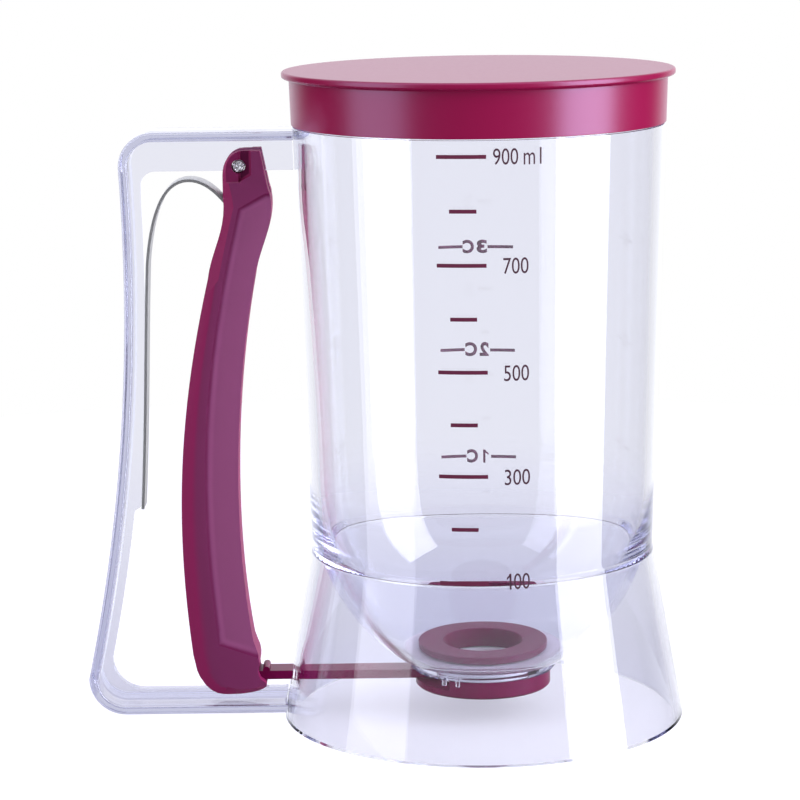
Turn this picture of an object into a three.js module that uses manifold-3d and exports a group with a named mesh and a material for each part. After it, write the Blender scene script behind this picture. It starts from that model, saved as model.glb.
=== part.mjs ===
// Pancake batter dispenser: a clear jar on a flared base, with a push-on lid, and a finger lever
// that slides a gate open under the outlet. Millimetres, +Z up. The jar's axis and the handle lie
// in the plane y = 0, and the origin is under the middle of the whole object, where it stands.
import * as THREE from 'three'
import { mergeVertices } from 'three/addons/utils/BufferGeometryUtils.js'
import Module from 'manifold-3d'

const wasm = await Module()
wasm.setup()

// Clearances
const gap = 0.3 // between pieces that touch
const slideGap = 0.4 // round the gate in its guide
const hookGap = 0.6 // between the lever's toe and the rod's two ridges
const overrun = 1 // how far a cutting shape runs past what it cuts

// Facets
const bigRound = 64
const smallRound = 48
const pinRound = 24
const curveSteps = 8

// Jar and base
const overallHeight = 183.8
const baseRadius = 57
const waistRadius = 48.4
const waistHeight = 49.5
const bodyTopRadius = 51.7
const bodyWall = 2.6
const baseWall = 2.4
const shoulderGap = 0.4 // the jar's step lies this far below the lid's edge
const bowlStartHeight = 68
const floorTop = 18.4
const floorThickness = 2
const floorRadius = 22.3
const floorUnderRadius = 23.2
const bowlOuterShares = [[0.05, 0.41], [0.54, 0.8]]
const bowlInnerShares = [[0.01, 0.34], [0.31, 0.86]]

// Lid
const lidHeight = 14.9
const lidPlate = 1.9
const lidOverhang = 2.1
const lidSkirtWall = 1.4
const lidProud = 0.4 // the skirt's lower edge stands this far out from the jar
const lidTaper = 0.4
const lidEdgeRound = 0.5
const neckWall = 1.4

// Outlet, from the bowl's floor down
const outletRadius = 11.3
const seatWall = 1.7
const seatRimRadius = 18.6
const seatRim = 2
const flangeRadius = 21.1
const flangeDrop = 3
const flangeStep = 0.8
const flangeStepHeight = 1
const sealHeight = 1.3
const gateThickness = 2.5
const guideWall = 2.9
const lipReach = 1.1
const lipHeight = 1
const lipWidth = 2.9
const lipAngles = [0, 80, -80] // degrees round from the side away from the handle
const lugWidth = 1
const lugReach = 1.3
const lugDrop = 1.6
const lugInset = 0.1
const lugAngles = [236, 248, 56, 68]

// Valve cap
const capRadius = 19.3
const capWall = 1.4
const capFloor = 2.2
const capHoleMargin = 1.1 // the cap's hole is this much larger than the seat's
const capChamfer = 0.6
const windowHalfAngle = 59

// Handle frame
const fingerRoom = 15 // from the jar's side to the lever's pin
const gripSpan = 45.7 // from the pin to the frame's outermost point
const frameTopDrop = 1.2 // the frame's top below the lid's edge
const frameFoot = 1.9
const frameFlange = 2.5
const frameWidth = 17
const webWidth = 2.8
const topWebDrop = 8.8
const bottomWebRise = 3.2
const gripDepth = 5.2
const gripSetback = 12.5 // the grip's upper end is this much nearer the jar than its lower end
const topCorner = 9.5
const bottomCorner = 10.5
const webCorner = 4
const footGusset = 9
const gripShares = [[-0.19, 0.33], [0.1, 0.66]]
const rootDepth = 8 // how far the bars run in before they are cut to the jar
const padHeight = 42
const padTail = 3

// Rod, an arm of the gate, and the base's notch for it
const rodWidth = 7.5
const ridgeRadius = 1
const ridgeHeight = 2.2
const rodTail = 1
const notchBelow = 1.2
const notchAbove = 2.4
const notchSide = 1.85

// Lever, measured from its pin
const pinDrop = 9.7 // the pin below the frame's top
const pinRadius = 1.6
const pinInset = 0.8 // the pin's ends below the lever's sides
const leverWidth = 14
const leverFoot = 7.3 // the lever's lowest point
const leverWall = 2.4
const leverSide = 2.1
const leverBevel = 1.1
const headRise = 4.3
const headBack = 4.5
const headFront = 6.8
const headCorner = 4.5
const shoulderFront = 8.7
const shoulderDrop = 5.8
const kneeFront = 4 // the shoulder's bulge runs out here
const kneeDrop = 31.6
const backTop = 4.5
const backTopDrop = 8.5
const napeBack = 9 // the hollow behind the head runs out here
const napeDrop = 31.4
const backEnd = 15.2
const heelBack = 6.4
const toeDepth = 10.1 // the lever's bow ends this far above its lowest point
const toeFront = 3 // the front of the toe's wall, where the rod passes it
const toeWall = 2
const toeLedge = 1.9
const toeLedgeDrop = 0.9
const rodSlotBelow = 1.3
const rodSlotAbove = 1
const cavityDrop = 7
const panelDepth = 0.6
const panelTopBack = 0.8
const panelTopDrop = 11.1
const panelTopFront = 7
const panelTopRise = 4.3
const panelEndBack = 9.7
const panelEndRise = 13.3 // the panel's lower border above the lever's lowest point
const panelEndSlopeShare = 0.29
const pocketWidth = 4.1
const pocketDrop = 4.7
const pocketRise = 3.6
const pocketDepth = 1.6
const napeShares = [[-0.33, 0.33], [0.88, 0.69]]
const leverBackShares = [[1.47, 0.36], [1.83, 0.63]]
const shoulderShares = [[-0.38, 0.35], [0.77, 0.69]]
const leverFrontShares = [[6.13, 0.31], [7.84, 0.64]]
const panelShares = [[1.17, 0.29], [1.56, 0.68]]
const heelShares = [[0.07, 0.39], [0.42, 0.9]]

// Spring
const springThickness = 0.85
const springWidth = 9
const springCrownDrop = 3.9 // the spring's crown below the pin
const springCrownBack = 14.1
const springBendDrop = 27.2
const springBendBack = 26.1
const springFootHeight = 61
const springTipDrop = 20.4
const springFootInset = 7.7 // the spring's foot in from the frame's outer face
const springHookShares = [[0.35, 0.52], [0.61, 1]]
const springArchShares = [[0.65, 0], [0.9, 0.48]]
const springLegShares = [[0.38, 0.33], [0.47, 0.64]]

// Heights and radii that follow
const lidEdgeHeight = overallHeight - lidHeight
const frameTop = lidEdgeHeight - frameTopDrop
const jarTop = overallHeight - lidPlate - gap
const shoulderHeight = lidEdgeHeight - shoulderGap
const lidSkirtRadius = bodyTopRadius + lidProud
const neckRadius = lidSkirtRadius - lidSkirtWall - gap
const neckInside = neckRadius - neckWall
const bowlStartRadius = bodyRadiusAt(bowlStartHeight) - bodyWall
const seatTop = waistHeight + gap
const spigotRadius = waistRadius - baseWall - gap
const floorUnder = floorTop - floorThickness
const flangeUnder = floorUnder - flangeDrop
const boreRadius = outletRadius + seatWall + gap
const gateTop = flangeUnder - gap
const gateBottom = gateTop - gateThickness
const gateRadius = boreRadius - slideGap
const capFloorTop = gateBottom - gap
const capInside = capRadius - capWall
const guideRadius = boreRadius + guideWall
const guideBottom = capFloorTop + 2 * gap
const lipTop = guideBottom + lipHeight
const handleReach = bodyTopRadius + fingerRoom + gripSpan
const pinX = -(bodyTopRadius + fingerRoom)
const pinHeight = frameTop - pinDrop
const leverReach = pinHeight - leverFoot // from the pin down
const cavityHalf = leverWidth / 2 - leverSide
const leverEndDrop = leverReach - toeDepth
const panelEndDrop = leverReach - panelEndRise
const toeFace = pinX + toeFront

function bodyRadiusAt(height) {
  const share = (height - waistHeight) / (lidEdgeHeight - waistHeight)
  return waistRadius + (bodyTopRadius - waistRadius) * share
}

function baseRadiusAt(height) {
  return baseRadius + (waistRadius - baseRadius) * (height / waistHeight)
}

// Points of a smooth curve from one point to another. Each control point is given as shares of
// the way across and the way along between the two ends.
function curve(start, end, shares, steps = curveSteps) {
  const at = ([u, v]) => new THREE.Vector2(
    start[0] + (end[0] - start[0]) * u,
    start[1] + (end[1] - start[1]) * v,
  )
  const bezier = new THREE.CubicBezierCurve(at([0, 0]), at(shares[0]), at(shares[1]), at([1, 1]))
  return bezier.getPoints(steps).map((point) => [point.x, point.y])
}

// Points of an arc, angles in degrees
function arc(centre, radius, from, to, steps = curveSteps) {
  return Array.from({ length: steps + 1 }, (_, i) => {
    const angle = THREE.MathUtils.degToRad(from + ((to - from) * i) / steps)
    return [centre[0] + radius * Math.cos(angle), centre[1] + radius * Math.sin(angle)]
  })
}

// The same line moved sideways, to its left for a positive distance
function beside(points, distance) {
  return points.map((point, i) => {
    const before = points[Math.max(i - 1, 0)]
    const after = points[Math.min(i + 1, points.length - 1)]
    const along = new THREE.Vector2(after[0] - before[0], after[1] - before[1]).normalize()
    return [point[0] - along.y * distance, point[1] + along.x * distance]
  })
}

// A closed mesh as a solid, with its faces turned outwards
function toSolid(geometry) {
  geometry.deleteAttribute('normal')
  geometry.deleteAttribute('uv')
  const merged = mergeVertices(geometry)
  const places = merged.attributes.position
  const corners = merged.index.array
  const kept = []
  let volume = 0
  const a = new THREE.Vector3()
  const b = new THREE.Vector3()
  const c = new THREE.Vector3()
  for (let i = 0; i < corners.length; i += 3) {
    const [p, q, r] = corners.slice(i, i + 3)
    if (p === q || q === r || r === p) continue
    kept.push([p, q, r])
    a.fromBufferAttribute(places, p)
    b.fromBufferAttribute(places, q)
    c.fromBufferAttribute(places, r)
    volume += a.dot(b.cross(c))
  }
  const outward = kept.map(([p, q, r]) => (volume > 0 ? [p, q, r] : [p, r, q]))
  return new wasm.Manifold(new wasm.Mesh({
    numProp: 3,
    vertProperties: new Float32Array(places.array),
    triVerts: new Uint32Array(outward.flat()),
  }))
}

function toGeometry(solid) {
  const mesh = solid.getMesh()
  const geometry = new THREE.BufferGeometry()
  geometry.setAttribute('position', new THREE.BufferAttribute(mesh.vertProperties, 3))
  geometry.setIndex(new THREE.BufferAttribute(mesh.triVerts, 1))
  geometry.computeVertexNormals()
  return geometry
}

function shapeOf(points) {
  return new THREE.Shape(points.map(([x, y]) => new THREE.Vector2(x, y)))
}

// A profile of [radius, height] points turned round the jar's axis
function turned(profile, facets) {
  const closed = [...profile, profile[0]].map(([r, z]) => new THREE.Vector2(r, z))
  return toSolid(new THREE.LatheGeometry(closed, facets).rotateX(Math.PI / 2))
}

// An outline of [x, z] points given a width across the handle's plane
function slab(points, width, bevel = 0) {
  const geometry = new THREE.ExtrudeGeometry(shapeOf(points), {
    depth: width - 2 * bevel,
    bevelEnabled: bevel > 0,
    bevelThickness: bevel,
    bevelSize: bevel,
    bevelOffset: -bevel,
    bevelSegments: 2,
  })
  return toSolid(geometry.rotateX(Math.PI / 2).translate(0, width / 2 - bevel, 0))
}

// An outline of [x, y] points raised between two heights
function prism(points, low, high) {
  const geometry = new THREE.ExtrudeGeometry(shapeOf(points), { depth: high - low, bevelEnabled: false })
  return toSolid(geometry.translate(0, 0, low))
}

function block([x0, x1], [y0, y1], [z0, z1]) {
  return prism([[x0, y0], [x1, y0], [x1, y1], [x0, y1]], z0, z1)
}

// A block at an angle round the jar's axis, between two radii
function spoke(angle, [inner, outer], width, [low, high]) {
  return block([inner, outer], [-width / 2, width / 2], [low, high]).rotate([0, 0, angle])
}

// A round bar across the handle's plane
function crossBar([x, z], radius, width, facets = pinRound) {
  return slab(arc([x, z], radius, 0, 360 - 360 / facets, facets - 1), width)
}

function join(first, ...others) {
  return others.reduce((whole, piece) => whole.add(piece), first)
}

function cut(first, ...others) {
  return others.reduce((whole, piece) => whole.subtract(piece), first)
}

// Jar: neck, tapered side, bowl, floor, outlet flange and the gate's guide, in one moulding
function jar() {
  const outerBowl = curve([floorUnderRadius, floorUnder], [spigotRadius, seatTop],
    bowlOuterShares.map(([u, v]) => [1 - u, 1 - v]).reverse())
  const innerBowl = curve([bowlStartRadius, bowlStartHeight], [floorRadius, floorTop], bowlInnerShares)
  const body = turned([
    ...outerBowl,
    [waistRadius, seatTop],
    [bodyTopRadius, shoulderHeight],
    [neckRadius, shoulderHeight],
    [neckRadius, jarTop],
    [neckInside, jarTop],
    ...innerBowl,
    [boreRadius, floorTop],
    [boreRadius, guideBottom],
    [guideRadius, guideBottom],
    [guideRadius, flangeUnder],
    [flangeRadius - flangeStep, flangeUnder],
    [flangeRadius - flangeStep, flangeUnder + flangeStepHeight],
    [flangeRadius, flangeUnder + flangeStepHeight],
    [flangeRadius, floorUnder],
  ], bigRound)
  const gatePath = block([-guideRadius - overrun, 0], [-boreRadius, boreRadius],
    [guideBottom - overrun, flangeUnder])
  const lips = lipAngles.map((angle) =>
    spoke(angle, [guideRadius - overrun, guideRadius + lipReach], lipWidth, [guideBottom, lipTop]))
  const lugInner = flangeRadius - lugInset - lugReach
  const lugs = lugAngles.map((angle) =>
    spoke(angle, [lugInner, lugInner + lugReach], lugWidth, [flangeUnder - lugDrop, floorUnder - gap]))
  return join(cut(body, gatePath), ...lips, ...lugs)
}

// Base: a flared shell under the jar's shoulder, with the arched notch for the rod
function baseSkirt() {
  const shell = turned([
    [baseRadius - baseWall, 0],
    [baseRadius, 0],
    [waistRadius, waistHeight],
    [waistRadius - baseWall, waistHeight],
  ], bigRound)
  const half = rodWidth / 2 + notchSide
  const low = gateBottom - notchBelow
  const spring = gateTop + notchAbove - half
  const arch = [[-half, low], [half, low], ...arc([0, Math.max(spring, low)], half, 0, 180)]
  const notch = new THREE.ExtrudeGeometry(shapeOf(arch), { depth: 4 * baseWall, bevelEnabled: false })
  notch.rotateX(Math.PI / 2).rotateZ(-Math.PI / 2)
  return cut(shell, toSolid(notch.translate(2 * baseWall - baseRadiusAt(gateTop), 0, 0)))
}

// Lid: plate with an overhanging rim and a skirt that slips over the jar's neck
function lid() {
  const plateUnder = overallHeight - lidPlate
  const rimRadius = lidSkirtRadius + lidTaper + lidOverhang
  return turned([
    [0, plateUnder],
    [lidSkirtRadius - lidSkirtWall, plateUnder],
    [lidSkirtRadius - lidSkirtWall, lidEdgeHeight],
    [lidSkirtRadius, lidEdgeHeight],
    [lidSkirtRadius + lidTaper, plateUnder],
    [rimRadius - lidEdgeRound, plateUnder],
    [rimRadius, plateUnder + lidEdgeRound],
    [rimRadius, overallHeight - lidEdgeRound],
    [rimRadius - lidEdgeRound, overallHeight],
    [0, overallHeight],
  ], bigRound)
}

// The frame's outer line, from the jar's side over the top, down the grip and back
function frameLine() {
  const gripTop = [-(handleReach - gripSetback), frameTop - topCorner]
  const gripEnd = [-handleReach, frameFoot + bottomCorner]
  return [
    [rootDepth - bodyTopRadius, frameTop],
    ...arc([gripTop[0] + topCorner, gripTop[1]], topCorner, 90, 180),
    ...curve(gripTop, gripEnd, gripShares, 2 * curveSteps).slice(1, -1),
    ...arc([gripEnd[0] + bottomCorner, gripEnd[1]], bottomCorner, 180, 270),
    [rootDepth - baseRadius, frameFoot],
  ]
}

// Where the grip's outer line stands at a height
function gripAt(height) {
  const line = frameLine()
  const i = line.findIndex(([, z], n) => n > curveSteps && z <= height)
  const [above, below] = [line[i - 1], line[i]]
  const share = (above[1] - height) / (above[1] - below[1])
  return above[0] + (below[0] - above[0]) * share
}

// Spring: hooked into the lever under the pin, over its crown, and down the grip's inner side
function springLine() {
  const tip = [pinX + leverFrontAt(springTipDrop) - leverWall - gap - springThickness, pinHeight - springTipDrop]
  const crown = [pinX - springCrownBack, pinHeight - springCrownDrop]
  const bend = [pinX - springBendBack, pinHeight - springBendDrop]
  const foot = [gripAt(springFootHeight) + springFootInset, springFootHeight]
  return [
    ...curve(tip, crown, springHookShares),
    ...curve(crown, bend, springArchShares).slice(1),
    ...curve(bend, foot, springLegShares).slice(1),
  ]
}

function leafSpring() {
  const line = springLine()
  const outline = [...beside(line, springThickness / 2), ...beside(line, -springThickness / 2).reverse()]
  return slab(outline, springWidth)
}

// Handle frame: a broad flange with a narrow web inside it, cut to the jar and the base
function handleFrame() {
  const outer = frameLine()
  const flange = slab([...outer, ...beside(outer, frameFlange).reverse()], frameWidth)
  const webBottom = frameTop - frameFlange - topWebDrop
  const webTop = frameFoot + frameFlange + bottomWebRise
  const gripInner = beside(outer, gripDepth).filter(([x, z]) =>
    x < pinX - gripSpan / 2 && z < webBottom - webCorner && z > webTop + footGusset)
  const upper = gripInner[0]
  const lower = gripInner[gripInner.length - 1]
  const web = slab([
    ...beside(outer, frameFlange / 2),
    [rootDepth - baseRadius, webTop],
    ...arc([lower[0] + footGusset, webTop + footGusset], footGusset, 270, 180),
    ...gripInner.slice().reverse(),
    ...arc([upper[0] + webCorner, webBottom - webCorner], webCorner, 180, 90),
    [rootDepth - bodyTopRadius, webBottom],
  ], webWidth)
  const seated = springLine().filter(([, z]) => z <= springFootHeight + padHeight)
  const padFace = beside(seated, -(springThickness / 2 + gap))
  const padEnd = padFace[padFace.length - 1]
  const padTop = [gripAt(padFace[0][1]) + gripDepth / 2, padFace[0][1]]
  const padBottom = [gripAt(padEnd[1] - padTail) + gripDepth / 2, padEnd[1] - padTail]
  const pad = slab([padTop, ...padFace, padBottom], webWidth)
  const jarSide = turned([
    [0, -overrun],
    [baseRadiusAt(-overrun) + gap, -overrun],
    [waistRadius + gap, waistHeight],
    [bodyTopRadius + gap, lidEdgeHeight],
    [0, lidEdgeHeight],
  ], bigRound)
  const pinHole = crossBar([pinX, pinHeight], pinRadius + gap, frameWidth)
  return cut(join(flange, web, pad), jarSide, pinHole)
}

// The lever's back and front lines, as offsets from the pin
function leverBack() {
  const nape = [-napeBack, -napeDrop]
  return [
    ...curve([-backTop, -backTopDrop], nape, napeShares, curveSteps),
    ...curve(nape, [-backEnd, -leverEndDrop], leverBackShares, 2 * curveSteps).slice(1),
  ]
}

function leverFront() {
  const knee = [kneeFront, -kneeDrop]
  return [
    ...curve([shoulderFront, -shoulderDrop], knee, shoulderShares, curveSteps),
    ...curve(knee, [toeFront, -leverEndDrop], leverFrontShares, 2 * curveSteps).slice(1),
  ]
}

// How far ahead of the pin the lever's front lies at a drop below it
function leverFrontAt(drop) {
  const line = leverFront()
  const i = line.findIndex(([, z]) => z <= -drop)
  const [above, below] = [line[i - 1], line[i]]
  const share = (above[1] + drop) / (above[1] - below[1])
  return above[0] + (below[0] - above[0]) * share
}

function fromPin(points) {
  return points.map(([x, z]) => [pinX + x, pinHeight + z])
}

// Lever: a bowed channel, open towards the grip, forked at its head over the frame's web
function trigger() {
  const ledgeTop = gateBottom - toeLedgeDrop - pinHeight
  const ledgeTip = toeFront + toeLedge
  const outline = fromPin([
    ...arc([headCorner - headBack, headRise - headCorner], headCorner, 90, 180, curveSteps / 2),
    ...leverBack(),
    ...curve([-backEnd, -leverEndDrop], [-heelBack, -leverReach], heelShares, curveSteps / 2).slice(1),
    [toeWall, -leverReach + toeWall / 2],
    [ledgeTip, ledgeTop - toeLedge / 2],
    [ledgeTip, ledgeTop + toeLedge],
    ...leverFront().reverse(),
    [headFront, headRise],
  ])
  const solid = slab(outline, leverWidth, leverBevel)

  const past = backEnd + leverWidth
  const cavityFront = leverFront().map(([x, z]) => [x - leverWall, z]).filter(([, z]) => z < -cavityDrop)
  const cavity = slab(fromPin([
    [shoulderFront - leverWall, -cavityDrop],
    ...cavityFront.slice(0, -1),
    [toeFront - toeWall, -leverEndDrop],
    [toeFront - toeWall, -leverReach - overrun],
    [-past, -leverReach - overrun],
    [-past, -cavityDrop],
  ]), 2 * cavityHalf)
  const fork = slab(fromPin([
    [-past, -cavityDrop - overrun],
    [past, -cavityDrop - overrun],
    [past, headRise + overrun],
    [-past, headRise + overrun],
  ]), webWidth + 2 * slideGap)
  const toeCut = slab(fromPin([
    [toeFront, ledgeTop],
    [past, ledgeTop],
    [past, -leverEndDrop],
    [toeFront, -leverEndDrop],
  ]), leverWidth + 2 * overrun)
  const rodSlot = block(
    [toeFace - toeWall - overrun, toeFace + overrun],
    [-rodWidth / 2 - slideGap, rodWidth / 2 + slideGap],
    [gateBottom - rodSlotBelow, gateTop + rodSlotAbove],
  )
  const pinHole = crossBar([pinX, pinHeight], pinRadius + gap, leverWidth + 2 * overrun)

  const panel = fromPin([
    ...curve([-panelTopBack, -panelTopDrop], [-panelEndBack, -panelEndDrop], panelShares, 2 * curveSteps),
    [past, -panelEndDrop - (past + panelEndBack) * panelEndSlopeShare],
    [past, -panelTopDrop + panelTopRise],
    [panelTopFront, -panelTopDrop + panelTopRise],
  ])
  const pocket = fromPin([
    [0, -pocketDrop], [pocketWidth, -pocketDrop], [pocketWidth, pocketRise], [0, pocketRise],
  ])
  const sunk = (points, depth) => cut(slab(points, leverWidth + 2 * overrun), slab(points, leverWidth - 2 * depth))
  return cut(solid, cavity, fork, toeCut, rodSlot, pinHole, sunk(panel, panelDepth), sunk(pocket, pocketDepth))
}

function pivotPin() {
  return crossBar([pinX, pinHeight], pinRadius, leverWidth - 2 * pinInset)
}

// Gate: a round plate under the seat and the rod that the lever's toe pulls, with a ridge on
// each side of the toe's wall
function gateSlide() {
  const plate = prism(arc([0, 0], gateRadius, 0, 360 - 360 / smallRound, smallRound - 1), gateBottom, gateTop)
  const outerRidge = toeFace + hookGap + ridgeRadius
  const innerRidge = toeFace - toeWall - hookGap - ridgeRadius
  const across = [-rodWidth / 2, rodWidth / 2]
  const rod = block([innerRidge - rodTail, 0], across, [gateBottom, gateTop])
  const crest = gateTop + ridgeHeight - ridgeRadius
  const ridges = [outerRidge, innerRidge].flatMap((x) => [
    block([x - ridgeRadius, x + ridgeRadius], across, [gateBottom, crest]),
    crossBar([x, crest], ridgeRadius, rodWidth),
  ])
  return join(plate, rod, ...ridges)
}

// Seat: a ring on the bowl's floor, with a spigot down the bore
function seatRing() {
  const under = floorTop + gap
  const spigot = outletRadius + seatWall
  const spigotBottom = flangeUnder + sealHeight + gap
  return turned([
    [outletRadius, spigotBottom],
    [spigot, spigotBottom],
    [spigot, under],
    [seatRimRadius, under],
    [seatRimRadius, under + seatRim],
    [outletRadius, under + seatRim],
  ], smallRound)
}

// Soft washer between the seat's spigot and the gate
function gateSeal() {
  return turned([
    [outletRadius, flangeUnder],
    [outletRadius + seatWall, flangeUnder],
    [outletRadius + seatWall, flangeUnder + sealHeight],
    [outletRadius, flangeUnder + sealHeight],
  ], smallRound)
}

// Valve cap: holds the gate up, with a window that the gate leaves by and teeth over the lips
function valveCap() {
  const bottom = capFloorTop - capFloor
  const hole = outletRadius + capHoleMargin
  const shell = turned([
    [hole, bottom],
    [capRadius - capChamfer, bottom],
    [capRadius, bottom + capChamfer],
    [capRadius, gateTop],
    [capInside, gateTop],
    [capInside, capFloorTop],
    [hole, capFloorTop],
  ], smallRound)
  const window = prism(
    [[0, 0], ...arc([0, 0], capRadius + overrun, 180 - windowHalfAngle, 180 + windowHalfAngle, 2 * curveSteps)],
    capFloorTop, gateTop + overrun,
  )
  const teeth = lipAngles.map((angle) =>
    spoke(angle, [guideRadius + gap, capInside + capWall / 2], lipWidth, [lipTop + gap, gateTop]))
  return join(cut(shell, window), ...teeth)
}

const clear = new THREE.MeshStandardMaterial({
  color: '#e6e6f2', roughness: 0.05, metalness: 0, transparent: true, opacity: 0.35,
})
const magenta = new THREE.MeshStandardMaterial({ color: '#931753', roughness: 0.35, metalness: 0 })
const steel = new THREE.MeshStandardMaterial({ color: '#b4b4b2', roughness: 0.3, metalness: 1 })
const silicone = new THREE.MeshStandardMaterial({ color: '#e9e6e4', roughness: 0.7, metalness: 0 })

const pieces = [
  ['jar', jar, clear],
  ['base_skirt', baseSkirt, clear],
  ['handle_frame', handleFrame, clear],
  ['lid', lid, magenta],
  ['trigger', trigger, magenta],
  ['pivot_pin', pivotPin, steel],
  ['leaf_spring', leafSpring, steel],
  ['gate_slide', gateSlide, magenta],
  ['seat_ring', seatRing, magenta],
  ['gate_seal', gateSeal, silicone],
  ['valve_cap', valveCap, magenta],
]

const model = new THREE.Group()
model.position.x = (handleReach - baseRadius) / 2
for (const [name, make, material] of pieces) {
  const mesh = new THREE.Mesh(toGeometry(make()), material.clone())
  mesh.name = name
  model.add(mesh)
}

export default model
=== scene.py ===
# Pancake batter dispenser: clear jar and handle, magenta lid, lever and valve
import math
import bmesh
import bpy
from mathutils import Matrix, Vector


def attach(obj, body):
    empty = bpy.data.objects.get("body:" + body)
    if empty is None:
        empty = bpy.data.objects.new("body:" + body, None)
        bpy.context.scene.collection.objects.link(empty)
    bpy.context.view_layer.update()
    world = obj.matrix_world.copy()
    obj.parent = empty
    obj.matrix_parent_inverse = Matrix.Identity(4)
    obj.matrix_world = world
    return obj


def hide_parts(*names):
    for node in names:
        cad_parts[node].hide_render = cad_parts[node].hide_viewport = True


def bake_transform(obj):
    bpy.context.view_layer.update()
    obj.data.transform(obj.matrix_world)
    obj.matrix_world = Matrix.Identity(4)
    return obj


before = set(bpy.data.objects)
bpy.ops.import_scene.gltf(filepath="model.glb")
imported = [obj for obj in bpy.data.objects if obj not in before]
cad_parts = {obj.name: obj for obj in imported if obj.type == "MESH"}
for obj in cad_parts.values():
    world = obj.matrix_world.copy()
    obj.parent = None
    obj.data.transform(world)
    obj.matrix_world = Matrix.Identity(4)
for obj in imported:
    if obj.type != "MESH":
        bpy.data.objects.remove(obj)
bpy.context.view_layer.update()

mm = 0.001
axisX = 27.7  # the jar's axis, from the part's origin; all places below are in mm from that axis


# Points and lines

def spot(x, z, y=0.0):
    return Vector(((x + axisX) * mm, y * mm, z * mm))


def bendLine(start, end, shares, steps=16):
    # each control point is given as shares of the way across and along
    (x0, z0), (x3, z3) = start, end
    (x1, z1), (x2, z2) = [(x0 + (x3 - x0) * u, z0 + (z3 - z0) * v) for u, v in shares]
    line = []
    for i in range(steps + 1):
        t = i / steps
        a, b, c, d = (1 - t) ** 3, 3 * t * (1 - t) ** 2, 3 * t * t * (1 - t), t ** 3
        line.append((a * x0 + b * x1 + c * x2 + d * x3, a * z0 + b * z1 + c * z2 + d * z3))
    return line


def arcLine(centre, radius, start, end, steps=8):
    angles = [math.radians(start + (end - start) * i / steps) for i in range(steps + 1)]
    return [(centre[0] + radius * math.cos(a), centre[1] + radius * math.sin(a)) for a in angles]


def besideLine(points, distance):
    # the same line moved to its left
    moved = []
    for i, (x, z) in enumerate(points):
        (ax, az), (bx, bz) = points[max(i - 1, 0)], points[min(i + 1, len(points) - 1)]
        length = math.hypot(bx - ax, bz - az)
        moved.append((x - (bz - az) / length * distance, z + (bx - ax) / length * distance))
    return moved


def acrossAt(points, height):
    # where a line that runs downwards passes a height
    for (ax, az), (bx, bz) in zip(points, points[1:]):
        if bz <= height <= az:
            return ax + (bx - ax) * (az - height) / (az - bz)


def within(points, x, z):
    # whether a place lies inside a closed outline
    inside = False
    for (ax, az), (bx, bz) in zip(points, points[1:] + points[:1]):
        if (az > z) != (bz > z) and x < ax + (bx - ax) * (z - az) / (bz - az):
            inside = not inside
    return inside


# Modelling steps

def leaveEdit():
    bpy.ops.object.mode_set(mode="OBJECT")


def selectAll():
    bpy.ops.mesh.select_all(action="SELECT")


def newest(name):
    # the object just added, with its name
    piece = bpy.context.object
    piece.name = name
    return piece


def pickNone():
    if bpy.context.object and bpy.context.object.mode != "OBJECT":
        leaveEdit()
    bpy.ops.object.select_all(action="DESELECT")


def pickOnly(piece):
    pickNone()
    piece.select_set(True)
    bpy.context.view_layer.objects.active = piece


def editAll(piece):
    # edit mode with everything selected
    pickOnly(piece)
    bpy.ops.object.mode_set(mode="EDIT")
    selectAll()


def pickParts(piece, kind, wanted):
    # selects the vertices, edges or faces that pass a test, in edit mode
    bpy.ops.mesh.select_mode(type=kind)
    bpy.ops.mesh.select_all(action="DESELECT")
    mesh = bmesh.from_edit_mesh(piece.data)
    mesh.normal_update()
    for part in {"VERT": mesh.verts, "EDGE": mesh.edges, "FACE": mesh.faces}[kind]:
        if wanted(part):
            part.select_set(True)
    bmesh.update_edit_mesh(piece.data)


def applyPlace():
    bpy.ops.object.transform_apply(location=True, rotation=True, scale=True)


def applyStep(piece, kind, **settings):
    # adds a modifier with its settings and applies it
    pickOnly(piece)
    bpy.ops.object.modifier_add(type=kind)
    step = piece.modifiers[-1]
    for name, value in settings.items():
        setattr(step, name, value)
    bpy.ops.object.modifier_apply(modifier=step.name)


def traceOutline(name, points):
    # one vertex, extruded from point to point and closed with a face; stays in edit mode
    pickNone()
    bpy.ops.mesh.primitive_plane_add(size=mm, location=(0, 0, 0))
    piece = newest(name)
    editAll(piece)
    bpy.ops.mesh.merge(type="CENTER")
    bpy.ops.transform.translate(value=points[0])
    for a, b in zip(points, points[1:]):
        bpy.ops.mesh.extrude_vertices_move(TRANSFORM_OT_translate={"value": b - a})
    selectAll()
    bpy.ops.mesh.edge_face_add()
    return piece


def pushOut(x, y, z):
    # draws the selected face out by a distance in mm
    bpy.ops.mesh.extrude_region_move(TRANSFORM_OT_translate={"value": (x * mm, y * mm, z * mm)})


fineMerge = 0.0005  # mm, for meshes with small roundings


def settle(piece, merge=0.002):
    # merge doubles, faces outwards, back to object mode
    selectAll()
    bpy.ops.mesh.remove_doubles(threshold=merge * mm)
    bpy.ops.mesh.normals_make_consistent(inside=False)
    leaveEdit()
    return piece


def turnPiece(name, profile, steps):
    # a profile of (radius, height) spun round the jar's axis
    piece = traceOutline(name, [spot(r, z) for r, z in profile])
    bpy.ops.mesh.delete(type="ONLY_FACE")
    selectAll()
    bpy.ops.mesh.spin(steps=steps, angle=2 * math.pi, center=spot(0, 0), axis=(0, 0, 1))
    return settle(piece)


def slabPiece(name, outline, width):
    # an outline in the handle's plane, given a width across it
    piece = traceOutline(name, [spot(x, z, -width / 2) for x, z in outline])
    pushOut(0, width, 0)
    return settle(piece)


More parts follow.
